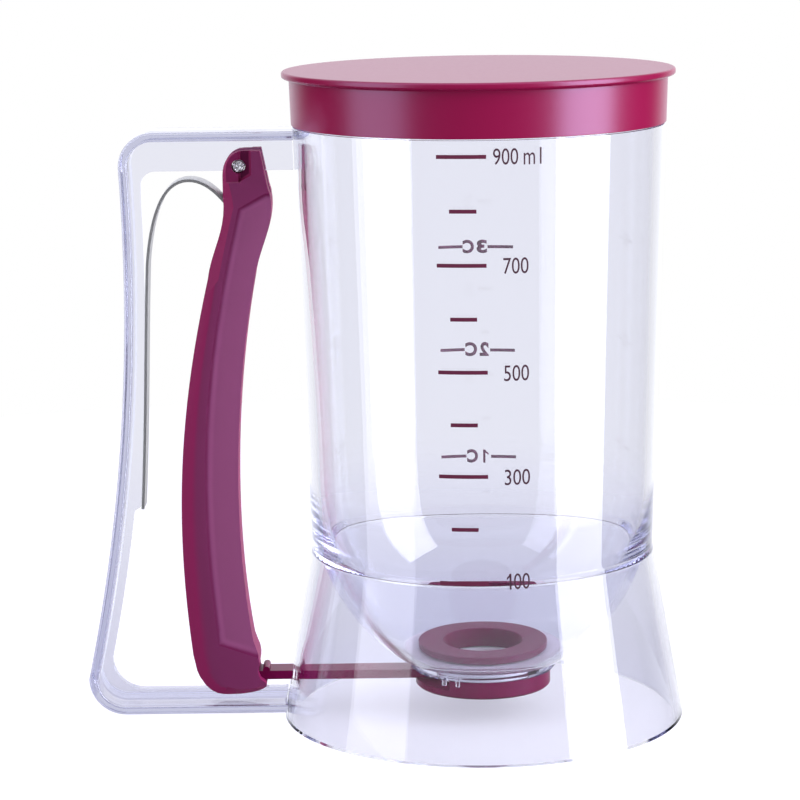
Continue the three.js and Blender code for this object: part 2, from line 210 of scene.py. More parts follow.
def platePiece(name, outline, low, high):
    # an outline of (x, y) raised between two heights
    piece = traceOutline(name, [spot(x, low, y) for x, y in outline])
    pushOut(0, 0, high - low)
    return settle(piece)


def barPiece(name, x, z, radius, width, steps=32):
    pickNone()
    bpy.ops.mesh.primitive_cylinder_add(vertices=steps, radius=radius * mm, depth=width * mm,
                                        location=spot(x, z), rotation=(math.pi / 2, 0, 0))
    piece = newest(name)
    applyPlace()
    return piece


def blockPiece(name, xs, ys, zs, turn=0.0):
    # a block between limits, turned round the jar's axis
    piece = platePiece(name, [(xs[0], ys[0]), (xs[1], ys[0]), (xs[1], ys[1]), (xs[0], ys[1])], *zs)
    if turn:
        editAll(piece)
        bpy.ops.transform.rotate(value=-math.radians(turn), orient_axis="Z", center_override=spot(0, 0))
        leaveEdit()
    return piece


def blocksRound(name, block, angles):
    # equal blocks round the jar's axis
    inside, outside, width, low, high = block
    return [blockPiece(name, (inside, outside), (-width / 2, width / 2), (low, high), angle) for angle in angles]


def combine(piece, others, how):
    for other in others:
        applyStep(piece, "BOOLEAN", operation=how, solver="EXACT", object=other)
        pickOnly(other)
        bpy.ops.object.delete()


def roundEdges(piece, width, segments, angle):
    applyStep(piece, "BEVEL", width=width * mm, segments=segments, limit_method="ANGLE",
              angle_limit=math.radians(angle))


def roundWhere(piece, width, segments, wanted):
    # rounds the edges whose middle and face normals pass a test
    editAll(piece)
    pickParts(piece, "EDGE", lambda edge: len(edge.link_faces) == 2 and wanted(
        (edge.verts[0].co + edge.verts[1].co) / 2 / mm, *[face.normal for face in edge.link_faces]))
    bpy.ops.mesh.bevel(offset=width * mm, offset_type="OFFSET", segments=segments, affect="EDGES",
                       clamp_overlap=True)
    bpy.ops.mesh.select_mode(type="VERT")
    settle(piece, fineMerge)


def paint(piece, material):
    piece.data.materials.clear()
    piece.data.materials.append(material)


def finishPiece(piece, material, body, nodes, smooth):
    # body is left out for the spring, which bends between two bodies
    pickOnly(piece)
    bpy.ops.object.shade_smooth_by_angle(angle=math.radians(smooth))
    # the weighting keeps the long walls from shading like lenses
    applyStep(piece, "WEIGHTED_NORMAL", mode="FACE_AREA", weight=100, keep_sharp=True)
    paint(piece, material)
    if body:
        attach(piece, body)
    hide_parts(*nodes)


# Materials

def setInputs(node, values):
    for name, value in values.items():
        node.inputs[name].default_value = value


def nodeAt(tree, kind, x, y, **inputs):
    node = tree.nodes.new(kind)
    node.location = (x, y)
    setInputs(node, inputs)
    return node


def join(source, output, target, socket):
    # links one node to another by the names of their sockets
    source.id_data.links.new(source.outputs[output], target.inputs[socket])


def mathAt(tree, how, x, y, *terms):
    # a Math node's result, from outputs and plain numbers
    node = nodeAt(tree, "ShaderNodeMath", x, y)
    node.operation = how
    for socket, term in zip(node.inputs, terms):
        if isinstance(term, float):
            socket.default_value = term
        else:
            tree.links.new(term, socket)
    return node.outputs[0]


def mixAt(tree, x, y, share, first, second):
    # a Mix Shader's result
    node = nodeAt(tree, "ShaderNodeMixShader", x, y)
    for socket, term in zip(node.inputs, (share, first, second)):
        tree.links.new(term, socket)
    return node.outputs["Shader"]


def newGroup(name, inputs, outputs):
    group = bpy.data.node_groups.new(name, "ShaderNodeTree")
    for label, kind, value in inputs:
        socket = group.interface.new_socket(name=label, in_out="INPUT", socket_type=kind)
        socket.default_value = value
    for label, kind in outputs:
        group.interface.new_socket(name=label, in_out="OUTPUT", socket_type=kind)
    return group, group.nodes.new("NodeGroupInput"), group.nodes.new("NodeGroupOutput")


def makeMouldedSkin():
    # faint mottle in the colour, grain in the roughness and a fine moulded skin in the height
    group, into, out = newGroup("mouldedSkin", [
        ("Colour", "NodeSocketColor", (0.5, 0.5, 0.5, 1)),
        ("Mottle", "NodeSocketFloat", 0.05),
        ("Roughness", "NodeSocketFloat", 0.4),
        ("Grain", "NodeSocketFloat", 0.05),
        ("Grain Scale", "NodeSocketFloat", 900.0),
    ], [("Colour", "NodeSocketColor"), ("Roughness", "NodeSocketFloat"), ("Height", "NodeSocketFloat")])
    link = group.links.new
    coords = nodeAt(group, "ShaderNodeTexCoord", -900, 0)
    broad = nodeAt(group, "ShaderNodeTexNoise", -700, 200, Scale=60.0, Detail=3.0)
    fine = nodeAt(group, "ShaderNodeTexNoise", -700, -200, Detail=4.0)
    join(coords, "Object", broad, "Vector")
    join(coords, "Object", fine, "Vector")
    join(into, "Grain Scale", fine, "Scale")
    shift = mathAt(group, "SUBTRACT", -450, 200, broad.outputs["Fac"], 0.5)
    swing = mathAt(group, "MULTIPLY", -300, 200, shift, into.outputs["Mottle"])
    tone = nodeAt(group, "ShaderNodeHueSaturation", 0, 200)
    join(into, "Colour", tone, "Color")
    link(mathAt(group, "ADD", -150, 200, swing, 1.0), tone.inputs["Value"])
    join(tone, "Color", out, "Colour")
    centred = mathAt(group, "SUBTRACT", -450, -200, fine.outputs["Fac"], 0.5)
    grain = mathAt(group, "MULTIPLY", -300, -200, centred, into.outputs["Grain"])
    link(mathAt(group, "ADD", -150, -200, grain, into.outputs["Roughness"]), out.inputs["Roughness"])
    join(fine, "Fac", out, "Height")
    return group


def makeFlowLines():
    # slow waves that injection moulding leaves in a clear wall
    group, into, out = newGroup("flowLines", [("Scale", "NodeSocketFloat", 25.0)],
                                [("Height", "NodeSocketFloat")])
    coords = nodeAt(group, "ShaderNodeTexCoord", -700, 0)
    stretch = nodeAt(group, "ShaderNodeMapping", -500, 0)
    stretch.inputs["Scale"].default_value = (1, 1, 0.35)
    waves = nodeAt(group, "ShaderNodeTexNoise", -300, 0, Detail=2.0)
    join(coords, "Object", stretch, "Vector")
    join(stretch, "Vector", waves, "Vector")
    join(into, "Scale", waves, "Scale")
    join(waves, "Fac", out, "Height")
    return group


def makeFacingSheenAndShade():
    # painted sheen and painted shade by how a face is turned: one colour for faces that look straight out along Y,
    # one for sloped and rounded ones
    group, into, out = newGroup("facingSheenAndShade", [
        ("Sloped", "NodeSocketColor", (0.5, 0.5, 0.5, 1)), ("Flat", "NodeSocketColor", (0.5, 0.5, 0.5, 1)),
        ("Slope From", "NodeSocketFloat", 0.98), ("Slope To", "NodeSocketFloat", 1.0),
    ], [("Colour", "NodeSocketColor")])
    coords = nodeAt(group, "ShaderNodeTexCoord", -900, 0)
    split = nodeAt(group, "ShaderNodeSeparateXYZ", -700, 0)
    flat = nodeAt(group, "ShaderNodeMapRange", -400, 0)
    flat.interpolation_type = "SMOOTHSTEP"
    join(coords, "Normal", split, "Vector")
    group.links.new(mathAt(group, "ABSOLUTE", -550, 0, split.outputs["Y"]), flat.inputs["Value"])
    join(into, "Slope From", flat, "From Min")
    join(into, "Slope To", flat, "From Max")
    tone = nodeAt(group, "ShaderNodeMix", -200, 100)
    tone.data_type = "RGBA"
    join(flat, "Result", tone, "Factor")
    join(into, "Sloped", tone, 6)
    join(into, "Flat", tone, 7)
    join(tone, 2, out, "Colour")
    return group


def newMaterial(name):
    material = bpy.data.materials.new(name)
    material.use_nodes = True
    tree = material.node_tree
    return material, tree, tree.nodes["Principled BSDF"], tree.nodes["Material Output"]


def addBump(tree, shader, height, strength, distance):
    bump = nodeAt(tree, "ShaderNodeBump", -250, -300, Strength=strength, Distance=distance * mm)
    tree.links.new(height, bump.inputs["Height"])
    join(bump, "Normal", shader, "Normal")


def solidPlastic(name, look):
    material, tree, shader, _ = newMaterial(name)
    skin = nodeAt(tree, "ShaderNodeGroup", -600, 0)
    skin.node_tree = mouldedSkin
    setInputs(skin, {"Colour": (*look["colour"], 1), "Mottle": look["mottle"], "Roughness": look["roughness"],
                     "Grain": look["grain"]})
    join(skin, "Colour", shader, "Base Color")
    join(skin, "Roughness", shader, "Roughness")
    addBump(tree, shader, skin.outputs["Height"], look["bump"], look.get("bumpDepth", 0.02))
    setInputs(shader, {"Metallic": look.get("metallic", 0.0), "Specular IOR Level": look.get("shine", 0.5),
                       "Specular Tint": (*look.get("shineTint", (1, 1, 1)), 1), "IOR": 1.5})
    return material


def leverPlastic(name, tones):
    material = solidPlastic(name, satinLook)
    tree = material.node_tree
    skin = next(node for node in tree.nodes if node.type == "GROUP")
    # the lever's colour is painted sheen and shade, chosen by how each face is turned
    group = nodeAt(tree, "ShaderNodeGroup", -900, 0)
    group.node_tree = facingSheenAndShade
    setInputs(group, {"Sloped": (*tones["sloped"], 1), "Flat": (*tones["flat"], 1),
                      "Slope From": tones["slope"][0], "Slope To": tones["slope"][1]})
    join(group, "Colour", skin, "Colour")
    return material


def clearPlastic(name, look):
    material, tree, shader, out = newMaterial(name)
    setInputs(shader, {"Base Color": (*look["tint"], 1), "Transmission Weight": look.get("clearness", 1.0),
                       "Roughness": look["roughness"], "IOR": look["bend"]})
    flow = nodeAt(tree, "ShaderNodeGroup", -600, -200)
    flow.node_tree = flowLines
    flow.inputs["Scale"].default_value = look["flowScale"]
    addBump(tree, shader, flow.outputs["Height"], look["flow"], look["flowDepth"])
    ray = nodeAt(tree, "ShaderNodeLightPath", 0, 400)
    through = nodeAt(tree, "ShaderNodeBsdfTransparent", 0, 200, Color=(*look["shadow"], 1))
    both = mixAt(tree, 250, 100, ray.outputs["Is Shadow Ray"], shader.outputs["BSDF"], through.outputs["BSDF"])
    tree.links.new(both, out.inputs["Surface"])
    depth = nodeAt(tree, "ShaderNodeVolumeAbsorption", 0, -200, Color=(*look["depthTint"], 1),
                   Density=look["density"])
    join(depth, "Volume", out, "Volume")
    return material


mouldedSkin = makeMouldedSkin()
flowLines = makeFlowLines()
facingSheenAndShade = makeFacingSheenAndShade()

clearLook = {"tint": (0.92, 0.925, 0.978), "roughness": 0.0, "bend": 1.5, "flow": 0.02, "flowDepth": 0.3,
             "flowScale": 25.0, "shadow": (0.97, 0.97, 0.99), "depthTint": (0.3, 0.32, 0.6), "density": 8.0}
handleLook = {**clearLook, "tint": (0.9, 0.905, 0.975), "depthTint": (0.35, 0.37, 0.62), "density": 38.0}
# the roughness is the flange's haze; its pink tint is a painted reflection of the magenta valve parts below
hazeAndPaintedPinkLook = {**clearLook, "tint": (0.93, 0.83, 0.92), "roughness": 0.3, "clearness": 0.5}
violet = (0.72, 0.62, 1.0)  # the colour of the gloss on the magenta mouldings
glossLook = {"colour": (0.285, 0.0015, 0.052), "mottle": 0.05, "roughness": 0.3, "grain": 0.05, "bump": 0.06,
             "shine": 1.0, "shineTint": violet}
# a darker, less shiny copy of the gloss magenta for the gate, seat and cap: painted shade for their place under the
# jar
shadedValveLook = {**glossLook, "colour": (0.125, 0.001, 0.038), "roughness": 0.35, "shine": 0.2}
satinLook = {"colour": (0.21, 0.002, 0.065), "mottle": 0.08, "roughness": 0.55, "grain": 0.1, "bump": 0.12,
             "shine": 0.2, "shineTint": (0.75, 0.7, 1.0)}
leverSheenAndShade = {  # by region, painted sheen and painted shade; the slope tells how level a face is, from sloped to flat
    # the flank: painted violet sheen on its level crest and faces, the sloped band without it
    "leverFlank": {"sloped": (0.25, 0.014, 0.085), "flat": (0.18, 0.025, 0.09), "slope": (0.982, 0.998)},
    # the panel: painted shade in its sloped groove, painted sheen on its level floor
    "leverPanel": {"sloped": (0.12, 0.004, 0.045), "flat": (0.26, 0.065, 0.16), "slope": (0.78, 0.996)},
    # the cheek: painted shade on its level floor, a lighter painted sheen on its sloped rim
    "leverCheek": {"sloped": (0.24, 0.05, 0.12), "flat": (0.165, 0.01, 0.062), "slope": (0.982, 0.998)},
    # the pocket round the pin: painted shade on its floor
    "leverPocket": {"sloped": (0.2, 0.008, 0.065), "flat": (0.11, 0.003, 0.04), "slope": (0.982, 0.998)},
}
steelLook = {"colour": (0.6, 0.6, 0.59), "mottle": 0.15, "roughness": 0.45, "grain": 0.15, "bump": 0.1,
             "metallic": 0.85}
pinLook = {"colour": (0.72, 0.72, 0.74), "mottle": 1.0, "roughness": 0.3, "grain": 0.3, "bump": 1.0,
           "bumpDepth": 0.5, "metallic": 0.85}
inkLook = {"colour": (0.14, 0.012, 0.05), "mottle": 0.1, "roughness": 0.5, "grain": 0.1, "bump": 0.1}
numberLook = {**inkLook, "colour": (0.065, 0.018, 0.04)}
cupLook = {**inkLook, "colour": (0.1, 0.008, 0.045)}
softLook = {"colour": (0.8, 0.79, 0.78), "mottle": 0.04, "roughness": 0.6, "grain": 0.05, "bump": 0.1}

clear = clearPlastic("clearPlastic", clearLook)
hazeAndPaintedPink = clearPlastic("hazyFlangePaintedPink", hazeAndPaintedPinkLook)
glossMagenta = solidPlastic("glossMagenta", glossLook)
# the valve's magenta is darkened as painted shade
shadedValveMagenta = solidPlastic("shadedValveMagenta", shadedValveLook)
leverMaterials = [leverPlastic(name, tones) for name, tones in leverSheenAndShade.items()]
handleClear = clearPlastic("handleClear", handleLook)
steel = solidPlastic("springSteel", steelLook)
pinSteel = solidPlastic("peenedSteel", pinLook)
ink = solidPlastic("scaleInk", inkLook)
numberInk = solidPlastic("numberInk", numberLook)
cupInk = solidPlastic("cupInk", cupLook)
silicone = solidPlastic("sealSilicone", softLook)
print("materials made")


# Jar and base: one clear moulding

jar = {
    "shoulder": (51.7, 168.5), "neck": 50.4, "neckInside": 49.0, "top": 181.6, "bowlStart": (46.31, 68.0),
    "bowlWall": 2.0, "bowlJoin": 41.0, "bowlLead": 0.55, "bowlTail": (0.39, 14.0), "bowlTop": (45.7, 49.8),
    "bowlShares": [(0.46, 0.2), (0.95, 0.59)], "floor": (22.3, 18.4), "floorUnder": (23.2, 16.4), "haze": 0.5,
    "bore": 13.3, "guide": 16.2, "guideBottom": 10.9, "flange": 21.1, "flangeUnder": 13.4, "step": (20.3, 14.4),
    "lipAngles": (0, 80, -80), "lip": (15.2, 17.3, 2.9, 10.9, 11.9), "lugAngles": (236, 248, 56, 68),
    "lug": (19.7, 21.0, 1.0, 11.8, 16.1), "steps": 144, "rounding": (0.25, 2, 40), "studRounding": (0.2, 2, 30),
}
skirt = {"foot": 57.0, "waist": (48.4, 49.6), "crease": 0.7, "bulge": 0.035, "wall": 2.4, "crotch": (45.9, 47.6),
         "crotchDrop": 0.6, "crotchEdge": (0.25, 0.15), "notchHalf": 5.6, "notchLow": 9.4, "notchTop": 15.5,
         "notchStart": -60, "notchDepth": 12}


def jarSideAt(height):
    (r0, z0), (r1, z1) = skirt["waist"], jar["shoulder"]
    return r0 + (r1 - r0) * (height - z0) / (z1 - z0)


def skirtAt(height):
    return skirt["foot"] + (skirt["waist"][0] - skirt["foot"]) * height / skirt["waist"][1]


def makeJar():
    j, s = jar, skirt
    under = bendLine(j["floorUnder"], j["bowlTop"], j["bowlShares"], 40)
    over = [p for p in besideLine(under, j["bowlWall"]) if p[0] > j["floor"][0] and p[1] < j["bowlJoin"]]
    (ax, az), (bx, bz) = over[-2:]  # the inner wall leaves the outer one's line here and runs to the jar's side
    start = j["bowlStart"]
    reach = (start[1] - bz) / 3 / (bz - az)
    lead = (bx + (bx - ax) * reach * j["bowlLead"], bz + (bz - az) * reach * j["bowlLead"])
    tail = (start[0] - j["bowlTail"][0], start[1] - j["bowlTail"][1])
    shares = [((x - bx) / (start[0] - bx), (z - bz) / (start[1] - bz)) for x, z in (lead, tail)]
    rise = bendLine((bx, bz), start, shares, 20)
    crotch, drop, (side, dip) = s["crotch"], s["crotch"][1] - s["crotchDrop"], s["crotchEdge"]
    low, high = s["waist"][1] - s["crease"], s["waist"][1] + s["crease"]
    piece = turnPiece("jarAndBaseShell", [
        *[p for p in under if p[1] < drop], (crotch[0] - side, crotch[1] - dip), crotch,
        (crotch[0] + side, crotch[1] - dip), (skirtAt(drop) - s["wall"], drop), (s["foot"] - s["wall"], 0),
        (s["foot"], 0), (skirtAt(low), low), (s["waist"][0] + s["bulge"], s["waist"][1]),
        (jarSideAt(high), high), j["shoulder"], (j["neck"], j["shoulder"][1]), (j["neck"], j["top"]),
        (j["neckInside"], j["top"]), *reversed(rise), *reversed(over[:-1]), j["floor"], (j["bore"], j["floor"][1]),
        (j["bore"], j["guideBottom"]), (j["guide"], j["guideBottom"]), (j["guide"], j["flangeUnder"]),
        (j["step"][0], j["flangeUnder"]), j["step"], (j["flange"], j["step"][1]), (j["flange"], j["floorUnder"][1]),
    ], j["steps"])
    path = blockPiece("gatePath", (-j["guide"] - 1, 0), (-j["bore"], j["bore"]),
                      (j["guideBottom"] - 1, j["flangeUnder"]))
    half, spring = s["notchHalf"], s["notchTop"] - s["notchHalf"]
    arch = [(-half, s["notchLow"]), (half, s["notchLow"]), *arcLine((0, spring), half, 0, 180, 16)]
    notch = traceOutline("notch", [spot(s["notchStart"], z, y) for y, z in arch])
    pushOut(s["notchDepth"], 0, 0)
    settle(notch)
    combine(piece, [path, notch], "DIFFERENCE")
    roundEdges(piece, *j["rounding"])
    studs = blocksRound("lip", j["lip"], j["lipAngles"]) + blocksRound("lug", j["lug"], j["lugAngles"])
    for stud in studs:
        roundEdges(stud, *j["studRounding"])
    combine(piece, studs, "UNION")
    finishPiece(piece, clear, "root", ["jar", "base_skirt"], 30)
    piece.data.materials.append(hazeAndPaintedPink)
    for face in piece.data.polygons:  # the bowl's floor round the valve is hazy from its mould, and tinted pink as a painted reflection of the magenta valve below
        x, y, z = [v / mm for v in face.center]
        if abs(z - j["floor"][1]) < 0.1 and math.hypot(x - axisX, y) < j["floor"][0] + j["haze"]:
            face.material_index = 1


makeJar()
print("jar and base made")


# Lid

lid = {"top": 183.8, "plate": 1.9, "edge": 168.9, "skirt": 52.1, "taper": 0.4, "wall": 1.4, "fillet": (0.2, 0.6),
       "rim": 54.6, "round": 0.7, "rimStart": -67, "flat": 1.6, "steps": 144, "rounding": (0.25, 2, 50)}


def makeLid():
    d = lid
    under, skirtTop, wide = d["top"] - d["plate"], d["skirt"] + d["taper"], d["rim"] - d["round"]
    near, far = d["fillet"]
    piece = turnPiece("lidCap", [
        (0, under), (d["skirt"] - d["wall"], under), (d["skirt"] - d["wall"], d["edge"]), (d["skirt"], d["edge"]),
        (skirtTop, under - far), (skirtTop + near, under - near), (skirtTop + far, under), (wide, under),
        *arcLine((wide, under + d["round"]), d["round"], d["rimStart"], 0, 4),
        *arcLine((wide, d["top"] - d["round"]), d["round"], 0, 90, 6), (d["rim"] - d["flat"], d["top"]),
        (0, d["top"]),
    ], d["steps"])
    roundEdges(piece, *d["rounding"])
    finishPiece(piece, glossMagenta, "lid", ["lid"], 40)


makeLid()
print("lid made")


# Handle frame

handle = {
    "reach": 112.4, "top": 167.7, "foot": 1.9, "topEnd": -43.7, "footEnd": -49, "flange": 2.5, "width": 17.0,
    "web": 2.8, "topWeb": 8.8, "bottomWeb": 3.2, "gripDepth": 5.2, "setback": 12.5, "topCorner": 9.5,
    "bottomCorner": 10.5, "webCorner": 4.0, "gusset": 9.0, "gripShares": [(-0.19, 0.33), (0.1, 0.66)],
    "gripSide": -90, "padInset": 2.6, "padSlope": 3, "padGap": 0.3, "pinHole": 1.9,
    "jarCut": [(0, -1), (57.47, -1), (48.7, 49.5), (52.0, 168.9), (0, 168.9)],  # the frame ends inside the wall
    "rounding": (0.7, 3, 50), "webRounding": (0.35, 2, 50),
}


def frameLine():
    h = handle
    gripTop = (-(h["reach"] - h["setback"]), h["top"] - h["topCorner"])
    gripEnd = (-h["reach"], h["foot"] + h["bottomCorner"])
    return [
        (h["topEnd"], h["top"]), *arcLine((gripTop[0] + h["topCorner"], gripTop[1]), h["topCorner"], 90, 180, 12),
        *bendLine(gripTop, gripEnd, h["gripShares"], 28)[1:-1],
        *arcLine((gripEnd[0] + h["bottomCorner"], gripEnd[1]), h["bottomCorner"], 180, 270, 12),
        (h["footEnd"], h["foot"]),
    ]


def gripAt(height):
    return acrossAt(frameLine()[8:-8], height)


# Lever, measured from its pin

lever = {
    "pin": (-66.7, 158.0), "width": 14.0, "wall": 2.4, "side": 2.1, "rounding": (1.5, 4, 50), "slope": 1.9,
    "ridge": 0.5, "headSlope": 1.4, "headSteps": 8, "heelCentre": (-4.0, -143.0), "heelSlope": (0.15, 0.4, 1.5),
    "headRise": 4.3, "headStart": 1.4, "headBack": (-4.5, -2.6), "headFront": 6.0,
    "headShares": [(0.6, 0.0), (1.0, 0.4)],
    "shoulder": (8.0, -5.8), "knee": (3.77, -31.6), "frontEnd": (1.15, -135.5),
    "shoulderShares": [(-0.76, 0.35), (0.77, 0.69)], "frontShares": [(2.53, 0.325), (2.95, 0.7)],
    "backTop": (-4.5, -8.5), "nape": (-9.3, -31.6), "backEnd": (-16.1, -139.5),
    "napeShares": [(-0.18, 0.41), (0.75, 0.63)], "backShares": [(1.34, 0.35), (1.66, 0.64)],
    "heel": [(-15.1, -144.2), (-14.4, -145.9), (-12.8, -148.4), (-11.1, -150.0), (-9.4, -150.9),
             (-7.7, -151.25), (-5.9, -151.3), (-4.2, -151.25), (-2.4, -151.15), (-0.8, -150.95), (0.9, -150.7),
             (2.6, -150.25), (4.0, -149.6)],
    "nose": [(4.7, -148.7), (4.75, -147.8), (4.1, -147.2), (3.1, -146.4), (2.6, -145.3), (2.5, -144.1),
             (2.75, -142.8), (2.8, -141.5), (2.5, -139.4), (1.75, -137.2)],
    "toeInside": 0.9, "cavityTop": -7.0, "cavityFoot": -153, "past": 30, "headPast": 8, "sunk": 8,
    "rodSlot": (9.3, 14.1), "rodHalf": 4.15, "pinHole": 1.9, "forkHalf": 1.8,
    "panelDepth": 1.1, "panelFillet": 3.4, "panelEdge": 1.3, "crestEdge": 0.28,
    "panelTop": (-1.0, -11.0), "panelEnd": (-9.5, -137.0), "panelShares": [(1.365, 0.364), (1.647, 0.633)],
    "panelCorner": (7.0, -6.6), "panelSlope": 0.35,
    "pocket": [(0.0, -4.4), (3.6, -2.4), (3.6, 8.0), (0.0, 8.0)], "pocketDepth": 1.6, "pocketRound": 0.8,
    "cheek": [(-9.0, -4.5), (0.6, -4.5), (0.6, 8.0), (-9.0, 8.0)], "cheekDepth": 0.5, "cheekRound": 0.3,
}


def fromPin(points):
    return [(lever["pin"][0] + x, lever["pin"][1] + z) for x, z in points]


def leverFront():
    v = lever
    return [*bendLine(v["shoulder"], v["knee"], v["shoulderShares"], 14),
            *bendLine(v["knee"], v["frontEnd"], v["frontShares"], 22)[1:]]


def leverBack():
    v = lever
    return [*bendLine(v["backTop"], v["nape"], v["napeShares"], 10),
            *bendLine(v["nape"], v["backEnd"], v["backShares"], 22)[1:]]


# Spring

strip = {"thickness": 0.85, "width": 9.0, "tipDrop": 20.4, "crown": (-14.1, -3.9), "bend": (-26.1, -27.2),
         "footHeight": 61.0, "footInset": 7.7, "hookShares": [(0.35, 0.52), (0.61, 1.0)],
         "archShares": [(0.65, 0.0), (0.9, 0.48)], "legShares": [(0.38, 0.33), (0.47, 0.64)], "pad": 42.0,
         "tipGap": 0.3, "rounding": (0.12, 2, 50),
         "still": -92.0, "moved": -72.0}  # where the spring stands across, still and moved


def springLine():
    s = strip
    px, pz = lever["pin"]
    tip = (px + acrossAt(leverFront(), -s["tipDrop"]) - lever["wall"] - s["tipGap"] - s["thickness"],
           pz - s["tipDrop"])
    crown, bend = (px + s["crown"][0], pz + s["crown"][1]), (px + s["bend"][0], pz + s["bend"][1])
    foot = (gripAt(s["footHeight"]) + s["footInset"], s["footHeight"])
    return [*bendLine(tip, crown, s["hookShares"]), *bendLine(crown, bend, s["archShares"])[1:],
            *bendLine(bend, foot, s["legShares"])[1:]]


def makeSpring():
    line, half = springLine(), strip["thickness"] / 2
    piece = slabPiece("springStrip", [*besideLine(line, half), *reversed(besideLine(line, -half))], strip["width"])
    roundEdges(piece, *strip["rounding"])
    finishPiece(piece, steel, None, ["leaf_spring"], 40)
    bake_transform(piece)


def makeHandle():
    h = handle
    outer = frameLine()
    flange = slabPiece("handleFrameBody", [*outer, *reversed(besideLine(outer, h["flange"]))], h["width"])
    roundEdges(flange, *h["rounding"])
    webBottom, webTop = h["top"] - h["flange"] - h["topWeb"], h["foot"] + h["flange"] + h["bottomWeb"]
    inner = [p for p in besideLine(outer, h["gripDepth"])
             if p[0] < h["gripSide"] and webTop + h["gusset"] < p[1] < webBottom - h["webCorner"]]
    upper, lower = inner[0], inner[-1]
    web = slabPiece("web", [
        *besideLine(outer, h["flange"] / 2), (h["footEnd"], webTop),
        *arcLine((lower[0] + h["gusset"], webTop + h["gusset"]), h["gusset"], 270, 180, 10), *reversed(inner),
        *arcLine((upper[0] + h["webCorner"], webBottom - h["webCorner"]), h["webCorner"], 180, 90, 8),
        (h["topEnd"], webBottom),
    ], h["web"])
    roundEdges(web, *h["webRounding"])
    seated = [p for p in springLine() if p[1] <= strip["footHeight"] + strip["pad"]]
    face = besideLine(seated, -(strip["thickness"] / 2 + h["padGap"]))
    padTop, padFoot = face[0][1], face[-1][1] - h["padSlope"]
    pad = slabPiece("pad", [(gripAt(padTop) + h["padInset"], padTop), *face,
                            (gripAt(padFoot) + h["padInset"], padFoot)], h["web"])
    cone = turnPiece("coneCut", h["jarCut"], 144)
    hole = barPiece("hole", *lever["pin"], h["pinHole"], h["width"])
    combine(flange, [web, pad], "UNION")
    combine(flange, [cone, hole], "DIFFERENCE")
    finishPiece(flange, handleClear, "root", ["handle_frame"], 35)


makeSpring()
makeHandle()
print("spring and handle made")


def leverOutline():
    # the silhouette, and the line that each of its points leads in to where the flank is at its full width
    v = lever
    head = bendLine((v["headStart"], v["headRise"]), v["headBack"], v["headShares"], v["headSteps"])
    back = leverBack()
    rest = [*v["nose"], *reversed(leverFront()), (v["headFront"], v["headRise"])]
    border = bendLine(v["panelTop"], v["panelEnd"], v["panelShares"], 28)
    top, low = border[0][1], border[-1][1]
    ridge = [(x + v["headSlope"] * i / v["headSteps"], z) for i, (x, z) in enumerate(head)]
    for x, z in back:
        if z > top:
            share = z / top
            ridge.append((x + v["headSlope"] + (border[0][0] - v["ridge"] - x - v["headSlope"]) * share, z))
        else:
            ridge.append(((border[-1][0] if z <= low else acrossAt(border, z)) - v["ridge"], z))
    (cx, cz), last, (least, more, power) = v["heelCentre"], len(v["heel"]) - 1, v["heelSlope"]
    for i, (x, z) in enumerate(v["heel"]):  # the slope narrows round the heel
        share = least + more * (1 - i / last) ** power
        ridge.append((x + (cx - x) * share, z + (cz - z) * share))
    return [*head, *back, *v["heel"], *rest], [*ridge, *rest]


